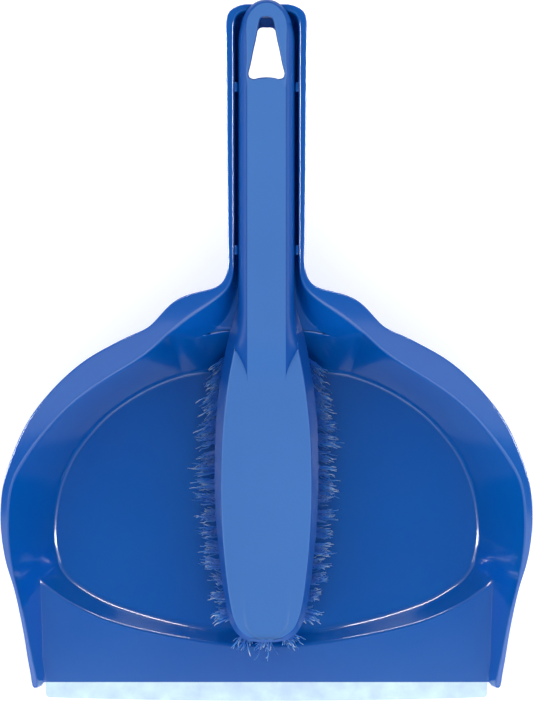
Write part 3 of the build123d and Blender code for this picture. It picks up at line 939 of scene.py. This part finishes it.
    def build(self) -> bpy.types.Object:
        """Builds the pan.

        Returns:
            The pan's object.
        """
        shell = Shell()
        run = self.rim(shell)
        side = self.wings(shell, run)
        foot, wall_ids = self.bowl_wall(shell, run, side[-1])
        mouth, trough_foot = self.trough_wall(shell, run)
        back_ids, arc = self.back_wall(shell, mouth, foot[-1])
        front_foot = self.front_wall(shell, foot[0], side)
        shell.round_edges(list(wall_ids[0]), self.foot_round)
        shell.round_edges(list(back_ids[0]), self.foot_round)
        for y in self.nub_places:
            self.nub(shell, y)
        self.bowl_floor(shell, [*front_foot[::-1], *wall_ids[0][1:], *back_ids[0][1:]])
        self.trough_floor(shell, arc, list(trough_foot))
        twin = shell.mirror()
        points, faces = shell.closed()
        faces += self.solids + [tuple(twin[i] for i in reversed(quad)) for quad in self.solids]
        fit = Fit("dustpan", (-151.7, 0.0), (119.1, 155.7, 57.0))
        pan = make_object("pan", fit(np.array(points)), faces)
        round_marked(pan, shell.rounds)
        return pan

    def nub(self, shell: Shell, y: float) -> None:
        """Adds a rounded nub that stands out from the trough's wall just under the rim."""
        outer, inner = self.nub_x
        top = float(RIM(y)[0]) - self.nub_drop
        half, high = self.nub_size[0] / 2, self.nub_size[1]
        box = [
            (x, y + dy, z)
            for z, shrink in ((top - high, self.nub_taper), (top, 0.0))
            for dy in (-half + shrink, half - shrink)
            for x in (inner, outer)
        ]
        ids = [shell.point(p, p) for p in box]
        quads = [(0, 2, 3, 1), (4, 5, 7, 6), (0, 1, 5, 4), (2, 6, 7, 3), (0, 4, 6, 2), (1, 3, 7, 5)]
        self.solids += [tuple(ids[k] for k in quad) for quad in quads]
        for k in ((0, 4, 6, 2, 0), (4, 5), (6, 7), (0, 1), (2, 3)):
            shell.round_edges([ids[i] for i in k], self.nub_round)

    def bowl_floor(self, shell: Shell, right: list[int]) -> None:
        """Adds the right half of the bowl's floor: a border strip and a level field."""
        loop = np.array([shell.top[i] for i in right])
        centre = np.array([0.0, self.floor_middle, self.floor_z])
        tops = np.stack([loop, centre + (loop - centre) * self.floor_border])
        unders = tops.copy()
        unders[:, :, 2] = 0.0
        inner = list(shell.grid(tops, unders)[1])
        middle = shell.point(tuple(centre), (0, self.floor_middle, 0))
        for a, b in zip(inner, inner[1:]):
            shell.face([a, b, middle])

    def trough_floor(self, shell: Shell, front: list[int], foot: list[int]) -> None:
        """Adds the right half of the trough's floor around the hang hole."""
        stations = Stations(self.hole, 2, self.hole_step, mirrored_end=True, mirrored_start=True)
        ring = []
        for x, y in stations.sample()[0]:
            z = float(self.trough_z(y))
            ring.append(shell.point((x, y, z), (x, y, z - self.wall)))
        shell.fill(front[::-1] + foot[1:] + ring[::-1])
        shell.round_edges(ring, self.hole_round)


# ------------------------------------------------------------------ brush
def soft_max(first: float, second: float, blend: float) -> float:
    """The larger of two values, rounded where they differ by less than blend."""
    share = min(1.0, max(0.0, 0.5 + 0.5 * (first - second) / blend))
    return second + (first - second) * share + blend * share * (1 - share) / 2


@dataclass
class BrushBody:
    """The moulded brush: a head with a raised ridge, and a hollow ribbed handle.

    Every station holds four plan points in millimetres: the lower outline, the edge of the top
    plate or of the handle's side, the edge of the flat crown, and the middle or the hole's edge.
    """

    head: list[Point] = field(default_factory=lambda: [
        (0, -130.2, 0, -129.1, 0, -127.6, 0, -126), (5, -130.0, 4.2, -128.8, 2.7, -127.2, 0, -125.2),
        (9.6, -128.9, 8.2, -127.4, 5.2, -125.6, 0, -123.8),
        (13.5, -126.1, 11.6, -124.9, 7.2, -123.2, 0, -121.8),
        (16.3, -121.3, 14.1, -120.9, 8.2, -120, 0, -119),
        (18.4, -113, 16.2, -113, 8.6, -113, 0, -113), (20.2, -101, 17.9, -101, 8.6, -101, 0, -101),
        (21.8, -87, 19.3, -87, 8.6, -87, 0, -87), (23.0, -70, 20.2, -70, 8.6, -70, 0, -70),
        (23.4, -55, 20.3, -55, 8.6, -55, 0, -55), (23.1, -39, 19.8, -39, 8.6, -39, 0, -39),
        (21.8, -20, 18.0, -20, 8.6, -20, 0, -20), (19.9, -8.2, 16.2, -8.2, 8.6, -8.2, 0, -8.2),
        (18.3, 1.6, 14.3, 1.6, 8.6, 1.6, 0, 1.6), (16.2, 10.2, 13.2, 10.2, 8.6, 10.2, 0, 10.2),
        (14.3, 16.2, 12.7, 16.2, 8.6, 16.2, 0, 16.2), (12.7, 21, 12.6, 21, 8.6, 21, 0, 21),
    ])
    hole: list[Point] = field(default_factory=lambda: [
        (12.1, 117, 12.6, 117, 8.6, 117.5, 0, 122.9), (12.1, 119.5, 12.6, 119.5, 8.6, 119.8, 3.9, 122.5),
        (12.1, 121.7, 12.6, 121.7, 8.8, 121.7, 6.4, 121.9), (12.1, 124, 12.6, 124, 9.1, 124, 7.9, 123.3),
        (12.1, 128, 12.6, 128, 8.9, 128, 7.4, 127.3), (12.1, 134, 12.6, 134, 8.8, 134, 6.1, 133.5),
        (12.1, 139, 12.6, 139, 8.9, 138.8, 4.9, 139), (11.8, 143, 12.2, 143, 9.0, 143.2, 3.9, 144),
        (11.0, 146.7, 11.3, 146.9, 8.9, 147.0, 3.1, 147.8),
        (9.9, 149.9, 10.2, 150.2, 8.2, 149.8, 2.0, 149.6), (8.5, 152.6, 8.8, 152.9, 7.1, 152.0, 0, 150.1),
    ])
    dome: list[Point] = field(default_factory=lambda: [
        (8.5, 152.6, 8.8, 152.9, 7.1, 152.0, 0, 150.1), (6.1, 155.0, 6.4, 155.4, 5.1, 154.1, 0, 152.0),
        (3.3, 156.6, 3.5, 157.1, 2.8, 155.6, 0, 153.2), (0, 157.1, 0, 157.7, 0, 156.1, 0, 153.6),
    ])
    plate_z: float = 52.6
    base_z: float = 39.6
    crown: float = 6.3
    side_drop: float = 2.2
    foot_drop: float = 12.65
    blend_y: float = -11.0
    blend_slope: float = 0.306
    horn_y: float = 1.6
    horn_x: float = 14.3
    ridge_x: float = 8.7
    back_y: float = 21.0
    over_y: float = 146.7
    over_z: float = 57.36
    hollow_half: float = 9.7
    hollow_ends: tuple[float, float] = (27.0, 116.5)
    ceiling: float = 2.4
    ribs: int = 4
    rib: float = 1.6
    grip: Point = (12.1, 12.6, 8.6)
    cheek: tuple[Point, ...] = ((0.42, 0.88), (0.8, 0.58))
    core_shares: Point = (0.66, 0.33)
    plate_blend: float = 0.8
    crown_blend: float = 1.6
    horn_run: float = 17.0
    ridge_from: float = -30.0
    ridge_share: float = 0.3
    ridge_bow: float = 1.4
    over_out: float = 0.2
    over_step: float = 0.5
    plate_round: float = 0.75
    base_round: float = 0.5
    hole_round: float = 0.9
    step: float = 2.4
    bay_step: float = 4.0
    hole_step: float = 1.5
    dome_step: float = 1.2

    def crown_z(self, y: float) -> float:
        """Height of the flat crown at y, run down into the plate."""
        run = self.plate_z + (y - self.blend_y) * self.blend_slope
        low = soft_max(self.plate_z, run, self.plate_blend)
        return -soft_max(-low, -float(handle_line(y) + self.crown), self.crown_blend)

    def side_z(self, y: float) -> float:
        """Height of the plate's edge, or of the handle's widest line behind the horns."""
        share = min(1.0, max(0.0, (y - self.horn_y) / self.horn_run))
        share = share * share * (3 - 2 * share)
        return float(self.plate_z * (1 - share) + (handle_line(y) - self.side_drop) * share)

    def section(self, plan: np.ndarray, hollow: bool, over: bool) -> list[Point]:
        """Points of one station from the crown's middle round to the underside's middle.

        Args:
            plan: the station's four plan points.
            hollow: whether the underside is open here.
            over: whether the station lies over the end of the pan's rim.

        Returns:
            The points.
        """
        (bx, by), (tx, ty), (fx, fy), (cx, cy) = plan.reshape(4, 2)
        top, side = self.crown_z(ty), self.side_z(ty)
        foot = self.base_z if by <= self.back_y + 0.01 else float(handle_line(by)) - self.foot_drop
        if over:
            foot, side = self.over_z, self.over_z + self.over_step
            bx += self.over_out * (bx > 0.1)
        ridge_x = tx
        if ty <= self.ridge_from:
            ridge_x = fx + self.ridge_share * (tx - fx)
        elif ty <= self.horn_y:
            share = min(1.0, max(0.0, (ty - self.blend_y) / (self.horn_y - self.blend_y)))
            spread = (self.horn_x - self.ridge_x) * share**self.ridge_bow
            ridge_x = min(self.ridge_x + spread, tx * 0.99)
        rise = top - side
        cheek = [(fx + (ridge_x - fx) * a, fy + (ty - fy) * a, side + up * rise) for a, up in self.cheek]
        middle, base, roof = np.array([cx, cy]), np.array([bx, by]), foot
        inner, core = (middle + share * (base - middle) for share in self.core_shares)
        if hollow:
            inner, core = (self.hollow_half, by), (self.hollow_half - 0.3, by)
            roof = top - self.ceiling
        return [
            (cx, cy, self.crown_z(cy)), (fx, fy, top), *cheek, (ridge_x, ty, side), (tx, ty, side),
            (bx, by, foot), (*inner, foot), (*core, roof), (cx, cy, roof),
        ]

    def rows(self) -> tuple[list[list[Point]], int, int]:
        """All sections from the head's tip to the handle's end.

        Returns:
            The sections, and the indices of the first and the last one at the hang hole.
        """
        head, _ = Stations(self.head, 2, self.step, mirrored_start=True).sample()
        rows = [self.section(plan, False, False) for plan in head]
        first, last = self.hollow_ends
        bay = (last - first - self.ribs * self.rib) / (self.ribs + 1)
        breaks = []
        for i in range(self.ribs + 1):
            start = first + i * (bay + self.rib)
            breaks += [(start, True), (start + bay, False)]
        y, hollow = self.back_y + 1.0, False
        for place, opens in breaks + [(self.hole[0][1], False)]:
            count = max(1, round((place - y) / self.bay_step))
            for i in range(count + 1):
                at = y + (place - y) * i / count
                plan = np.array([value for x in (*self.grip, 0.0) for value in (x, at)])
                rows.append(self.section(plan, hollow, False))
            y, hollow = place, opens
        rows.pop()
        holed, _ = Stations(self.hole, 4, self.hole_step).sample()
        start = len(rows)
        for plan in holed:
            over = plan[1] > self.over_y - 0.01
            if over and rows[-1][6][2] < self.over_z:
                rows.append(self.section(plan, False, False))
            rows.append(self.section(plan, False, bool(over)))
        end = len(rows) - 1
        rounded, _ = Stations(self.dome, 2, self.dome_step, mirrored_end=True).sample()
        rows += [self.section(plan, False, True) for plan in rounded[1:]]
        return rows, start, end

    def build(self) -> bpy.types.Object:
        """Builds the brush body.

        Returns:
            The brush body's object.
        """
        rows, start, end = self.rows()
        shell = Shell()
        ids = np.array([[shell.point(p, p) for p in row] for row in rows])
        for i in range(len(rows) - 1):
            for j in range(9):
                plate = rows[i + 1][5][1] <= self.blend_y or j == 4
                # slot 1 gives the upward faces the textured material, whose lighter colour is painted
                # sheen; slot 0 is the glossy sides.
                slot = 1 if j == 0 or (j <= 4 and plate) else 0
                shell.face([ids[i, j], ids[i + 1, j], ids[i + 1, j + 1], ids[i, j + 1]][::-1], slot)
            if start <= i < end:
                shell.face([ids[i, 9], ids[i + 1, 9], ids[i + 1, 0], ids[i, 0]][::-1])
        for i in range(len(rows) - 1):
            if rows[i][5][1] < self.horn_y:
                shell.round_edges([ids[i, 5], ids[i + 1, 5]], self.plate_round)
            shell.round_edges([ids[i, 6], ids[i + 1, 6]], self.base_round)
        shell.round_edges(list(ids[start : end + 1, 0]), self.hole_round)
        shell.mirror()
        fit = Fit("brush_body", (-130.2, 38.9), (23.4, 157.7, 63.42))
        body = make_object("brush_shell", fit(np.array(shell.top)), shell.faces)
        for polygon, slot in zip(body.data.polygons, shell.slots):
            polygon.material_index = slot
        round_marked(body, shell.rounds, 3)
        return body


@dataclass(frozen=True)
class Row:
    """One row of tufts as loose crimped filaments.

    Attributes:
        node: CAD node of the row.
        splay: how far in metres a filament's end may bend away to the side.
        reach: how far in metres it may bend to the front.
        fan: how far in metres it strays to either side.
    """

    node: str
    splay: float
    reach: float = 0.0
    fan: float = 0.0008


@dataclass(frozen=True)
class Tuft:
    """Where one CAD tuft stands.

    Attributes:
        root: middle of its upper end.
        end: middle of its lower end.
        radius: radius of the upper end.
        rear: how near it is to the back of the head, from 0 to 1.
        front: how near it is to the tip, from 0 to 1.
    """

    root: np.ndarray
    end: np.ndarray
    radius: float
    rear: float
    front: float


@dataclass
class Bristles:
    """Rows of crimped filaments in place of the CAD tufts, with sizes in metres."""

    rows: tuple[Row, ...] = (
        Row("bristles_outer_left", -0.0066), Row("bristles_inner_left", -0.004),
        Row("bristles_centre", 0.0), Row("bristles_inner_right", 0.004),
        Row("bristles_outer_right", 0.0066), Row("bristles_tip", 0.0, -0.0045, 0.0028),
    )
    count: int = 38
    joints: int = 12
    sides: int = 3
    thickness: float = 0.0004
    crimp: float = 0.00032
    wave: float = 0.0052
    clump: float = 0.0012
    stray: float = 0.0010
    gather: float = 0.9
    shorten: float = 9.0
    bend_power: float = 2.2
    splay_power: float = 1.2
    root_fill: float = 0.9
    rear_clump: float = 0.6
    rear_stray: float = 0.5
    spread_range: tuple[float, float] = (0.2, 1.1)
    length_range: tuple[float, float] = (0.86, 1.0)
    crimp_range: tuple[float, float] = (0.5, 1.5)
    thick_range: tuple[float, float] = (0.8, 1.15)
    rear_zone: tuple[float, float] = (-0.03, 0.03)
    front_zone: tuple[float, float] = (-0.105, 0.012)
    root_slice: float = 0.0012
    end_slice: float = 0.0006
    places: tuple[float, ...] = (-0.12, -0.09, -0.06, -0.03, -0.005)
    shares: tuple[float, ...] = (0.55, 0.75, 1.0, 1.0, 0.6)

    def tuft(self, points: np.ndarray) -> Tuft:
        """Reads one tuft from the points of its solid."""
        low, high = points[:, 2].min(), points[:, 2].max()
        end = points[points[:, 2] < low + self.end_slice]
        root = points[points[:, 2] > high - self.root_slice]
        middle = (root.min(0) + root.max(0)) / 2
        rear = float(np.clip((middle[1] - self.rear_zone[0]) / self.rear_zone[1], 0, 1))
        front = float(np.clip((self.front_zone[0] - middle[1]) / self.front_zone[1], 0, 1))
        return Tuft(middle, (end.min(0) + end.max(0)) / 2, float(np.ptp(root[:, 0]) / 2), rear, front)

    def tufts(self, node: str) -> list[Tuft]:
        """Reads the tufts of a node, front to back."""
        mesh = bmesh.new()
        mesh.from_mesh(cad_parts[node].data)
        bmesh.ops.remove_doubles(mesh, verts=mesh.verts, dist=1e-6)
        left, found = set(mesh.verts), []
        while left:
            island, edge = set(), [left.pop()]
            while edge:
                vert = edge.pop()
                island.add(vert)
                near = {link.other_vert(vert) for link in vert.link_edges} & left
                left -= near
                edge += near
            found.append(self.tuft(np.array([vert.co for vert in island])))
        mesh.free()
        return sorted(found, key=lambda tuft: (round(tuft.root[1], 5), round(tuft.root[0], 5)))

    def path(
        self, row: Row, tuft: Tuft, clump: np.ndarray, random: np.random.Generator
    ) -> tuple[np.ndarray, float]:
        """Draws one filament.

        Args:
            row: its row.
            tuft: its tuft.
            clump: how far the whole tuft strays.
            random: source of the filaments' differences.

        Returns:
            The points of its middle line, and the angle at which it stands in the tuft.
        """
        axis = tuft.end - tuft.root
        length = float(np.linalg.norm(axis))
        shape = float(np.interp(tuft.root[1], self.places, self.shares))
        turn, out = random.uniform(0, 2 * math.pi), math.sqrt(random.uniform(0, 1))
        foot = np.array([math.cos(turn), math.sin(turn), 0]) * out * tuft.radius * self.root_fill
        spread = foot * random.uniform(*self.spread_range)
        aside = row.splay * shape * random.uniform(0, 1) ** self.splay_power
        aside += random.normal(0, row.fan) + clump[0]
        ahead = row.reach * random.uniform(0, 1)
        ahead += random.normal(0, self.stray) * (1 - self.rear_stray * tuft.rear)
        ahead += clump[1] - self.clump * tuft.rear
        ahead -= self.gather * tuft.front * abs(row.splay) * random.uniform(0, 1)
        s = np.linspace(0, 1, self.joints)[:, None]
        s = s * (random.uniform(*self.length_range) - self.shorten * abs(aside))
        path = tuft.root + foot + axis * s + spread * s + np.array([aside, ahead, 0]) * s**self.bend_power
        phase, side = random.uniform(0, 2 * math.pi), random.uniform(0, math.pi)
        swing = self.crimp * random.uniform(*self.crimp_range)
        swing = swing * np.sin(2 * math.pi * length * s / self.wave + phase)
        return path + swing * np.array([math.cos(side), math.sin(side), 0.0]), turn

    def tube(self, base: int) -> list[tuple[int, ...]]:
        """Faces of a filament whose points start at base, closed at its free end."""
        count, faces = self.sides, []
        for k in range(self.joints - 1):
            for j in range(count):
                a, b = base + count * k + j, base + count * k + (j + 1) % count
                faces.append((a, a + count, b + count, b))
        last = base + count * (self.joints - 1)
        return faces + [(last, last + 2, last + 1)]

    def build(self, row: Row, random: np.random.Generator) -> bpy.types.Object:
        """Builds one row.

        Args:
            row: the row to build.
            random: source of the filaments' differences.

        Returns:
            The row's object.
        """
        points, faces, along, tone = [], [], [], []
        for tuft in self.tufts(row.node):
            clump = random.normal(0, self.clump, 2) * (1 - self.rear_clump * tuft.rear)
            for _ in range(self.count):
                path, turn = self.path(row, tuft, clump, random)
                faces += self.tube(len(points))
                half = self.thickness * random.uniform(*self.thick_range) / 2
                shade = random.uniform(0, 1)
                angles = [turn + j * 2 * math.pi / self.sides for j in range(self.sides)]
                ring = [half * np.array([math.cos(angle), math.sin(angle), 0]) for angle in angles]
                for k, centre in enumerate(path):
                    points += [centre + corner for corner in ring]
                    # along is the place along the filament; the fibre material turns it into painted shade
                    # at the root and a painted highlight at the tip.
                    along += [k / (self.joints - 1)] * self.sides
                    tone += [shade] * self.sides
        obj = make_object(row.node.replace("bristles", "filaments"), np.array(points), faces)
        for name, values in (("along", along), ("tone", tone)):
            attribute = obj.data.attributes.new(name, "FLOAT", "POINT")
            attribute.data.foreach_set("value", values)
        return obj


# ------------------------------------------------------------------ studio
@dataclass(frozen=True)
class Panel:
    """One studio light.

    Attributes:
        name: the light's name.
        place: where it hangs, in metres.
        size: its width and length.
        radiance: its brightness.
        shine_only: whether it only shows in reflections.
    """

    name: str
    place: Point
    size: tuple[float, float]
    radiance: float
    shine_only: bool = False

    def hang(self) -> None:
        """Adds the light, facing the set."""
        light = bpy.data.lights.new(self.name, "AREA")
        light.shape, light.size, light.size_y = "RECTANGLE", self.size[0], self.size[1]
        light.energy = self.radiance * math.pi * self.size[0] * self.size[1]
        lamp = bpy.data.objects.new(self.name, light)
        lamp.location = self.place
        lamp.rotation_euler = Vector(self.place).to_track_quat("Z", "Y").to_euler()
        lamp.visible_diffuse = not self.shine_only
        lamp.visible_camera = False
        bpy.context.scene.collection.objects.link(lamp)


@dataclass(frozen=True)
class Studio:
    """Floor, lights and camera."""

    panels: tuple[Panel, ...] = (
        Panel("front panel", (0.0, -1.5, 1.6), (2.4, 1.3), 1.4),
        Panel("high panel", (0.0, -0.44, 1.8), (1.8, 0.28), 1.0, True),
        Panel("left strip", (-1.35, 0.0, 1.0), (0.2, 1.8), 30.0, True),
        Panel("right strip", (1.35, 0.0, 1.0), (0.2, 1.8), 30.0, True),
        Panel("rear strip", (0.0, 1.35, 1.0), (1.8, 0.2), 26.0, True),
    )
    sky: float = 0.95
    zenith: float = 0.1
    view: float = 0.3154
    distance: float = 8.0
    focus_z: float = 0.035
    floor_half: float = 8.0

    def sky_light(self) -> None:
        """Adds an even white surround, which reflections see darkened overhead."""
        world = bpy.data.worlds.new("surround")
        bpy.context.scene.world = world
        world.use_nodes = True
        tree = Tree(world.node_tree)
        place = tree.node("ShaderNodeTexCoord", {}, {}, "Generated")
        height = tree.node("ShaderNodeSeparateXYZ", {}, {0: place}, "Z")
        stops = [(0.55, (0.8, 0.8, 0.8, 1.0)), (0.9, (self.zenith, self.zenith, self.zenith, 1.0))]
        shine = tree.node("ShaderNodeValToRGB", {"stops": stops}, {"Fac": height}, "Color")
        glossy = tree.node("ShaderNodeLightPath", {}, {}, "Is Glossy Ray")
        even = (self.sky, self.sky, self.sky, 1.0)
        mixed = tree.node("ShaderNodeMix", {"data_type": "RGBA"}, {0: glossy, 6: even, 7: shine}, 2)
        tree.put(tree.nodes["Background"].inputs[0], mixed)

    def build(self) -> None:
        """Builds the studio."""
        h = self.floor_half
        corners = np.array([(-h, -h, 0), (h, -h, 0), (h, h, 0), (-h, h, 0)])
        floor = make_object("floor", corners, [(0, 1, 2, 3)])
        floor.data.materials.append(StudioFloor().material())
        self.sky_light()
        for panel in self.panels:
            panel.hang()
        lens = bpy.data.cameras.new("camera")
        camera = bpy.data.objects.new("camera", lens)
        bpy.context.scene.collection.objects.link(camera)
        lens.lens = lens.sensor_width * self.distance / self.view
        camera.location = (0.0, 0.0002, self.distance + self.focus_z)
        bpy.context.scene.camera = camera
        bpy.context.scene.view_settings.view_transform = "Standard"


def finish(obj: bpy.types.Object, body: str, slot: Slot, node: str, *made: bpy.types.Material) -> None:
    """Hangs a piece on its body in place of a CAD node, and gives it its materials."""
    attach(obj, body)
    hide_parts(node)
    for material in made:
        obj.data.materials.append(material)
    LOG.info("%s: %d faces", obj.name, len(obj.data.polygons))


def dress_node(name: str, material: bpy.types.Material, rounding: float = 0.0) -> None:
    """Gives a shown CAD node its material and, where wanted, rounded edges."""
    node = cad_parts[name]
    node.data.materials.clear()
    node.data.materials.append(material)
    if rounding:
        bevel = node.modifiers.new("rounded edges", "BEVEL")
        bevel.width, bevel.segments, bevel.limit_method = rounding, 3, "ANGLE"
        bevel.angle_limit = math.radians(30)
        bevel.harden_normals = True
    LOG.info("%s: dressed", name)


def main() -> None:
    """Builds every piece in order, then the studio."""
    logging.basicConfig(level=logging.INFO, format="%(message)s")
    finish(DustPan().build(), "pan", Slot.PAN, "dustpan", PAN_PLASTIC.material())
    dress_node("rubber_lip", LipRubber().material(), 0.0003)
    body = BrushBody().build()
    finish(body, "brush", Slot.BRUSH, "brush_body", BRUSH_PLASTIC.material(), BRUSH_TEXTURE_WITH_SHEEN.material())
    fibre, steel = BristleFibre().material(), StapleSteel().material()
    bristles, random = Bristles(), np.random.default_rng(7)
    for row in bristles.rows:
        finish(bristles.build(row, random), "brush", Slot.FIBRE, row.node, fibre)
        dress_node(row.node.replace("bristles", "staples"), steel)
    Studio().build()


if __name__ == "__main__":
    main()
